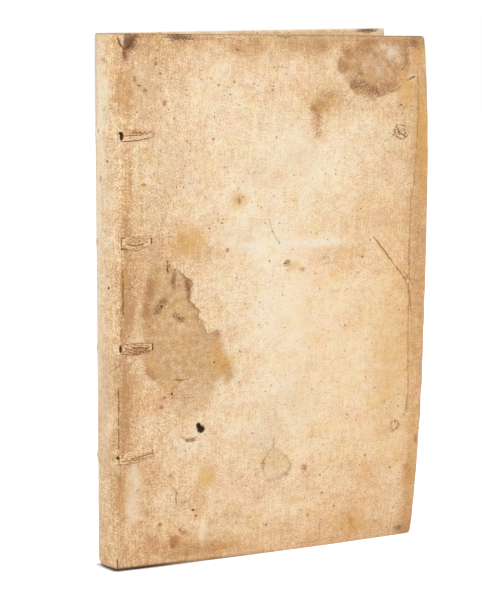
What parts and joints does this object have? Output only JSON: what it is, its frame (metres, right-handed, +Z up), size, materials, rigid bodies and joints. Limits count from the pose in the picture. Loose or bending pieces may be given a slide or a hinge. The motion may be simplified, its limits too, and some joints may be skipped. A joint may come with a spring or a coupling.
{
  "type": "parchment-bound folio book",
  "caption": "Tall folio book standing on its tail, with hinged parchment covers over thin board, laced to sewn leaves by tawed skin slips.",
  "frame": {"origin": "middle of the footprint, on the surface that the book stands on", "axes": "+X from the spine to the fore edge, +Y from the front cover to the rear cover, +Z up, from tail to head"},
  "size_m": [0.2244, 0.0617, 0.3349],
  "materials": {
    "leaves": "matt rag paper, toned at the edges",
    "pasteboard": "matt pulp board",
    "pastedown": "matt laid paper, stained",
    "tawed_skin": "matt tawed skin, soiled and wrinkled",
    "endband_thread": "matt linen thread",
    "sewing_thread": "matt linen thread",
    "lining": "matt paper, glued down",
    "spine_vellum": "satin parchment, soiled",
    "front_vellum": "satin parchment, stained and rubbed",
    "rear_vellum": "satin parchment, stained and rubbed"
  },
  "bodies": {
    "root": {"text_block": "leaves", "spine_vellum": "spine_vellum", "sewing_thread": "sewing_thread", "headband": "endband_thread", "tailband": "endband_thread", "thong_1": "tawed_skin", "thong_2": "tawed_skin", "thong_3": "tawed_skin", "thong_4": "tawed_skin", "spine_lining_1": "lining", "spine_lining_2": "lining", "spine_lining_3": "lining", "spine_lining_4": "lining", "spine_lining_5": "lining"},
    "front_cover": {"front_vellum": "front_vellum", "front_board": "pasteboard", "front_pastedown": "pastedown", "front_tie_upper": "tawed_skin", "front_tie_lower": "tawed_skin", "front_slip_1": "tawed_skin", "front_slip_2": "tawed_skin", "front_slip_3": "tawed_skin", "front_slip_4": "tawed_skin"},
    "rear_cover": {"rear_vellum": "rear_vellum", "rear_board": "pasteboard", "rear_pastedown": "pastedown", "rear_tie_upper": "tawed_skin", "rear_tie_lower": "tawed_skin", "rear_slip_1": "tawed_skin", "rear_slip_2": "tawed_skin", "rear_slip_3": "tawed_skin", "rear_slip_4": "tawed_skin"}
  },
  "joints": [
    {"name": "front_joint", "type": "hinge", "parent": "root", "child": "front_cover", "pos_m": [-0.1082, -0.0115, 0], "axis": [0, 0.0197, -0.9998], "range_deg": [-1, 176]},
    {"name": "rear_joint", "type": "hinge", "parent": "root", "child": "rear_cover", "pos_m": [-0.1082, 0.0115, 0], "axis": [0, 0.0197, 0.9998], "range_deg": [-1, 176]}
  ]
}
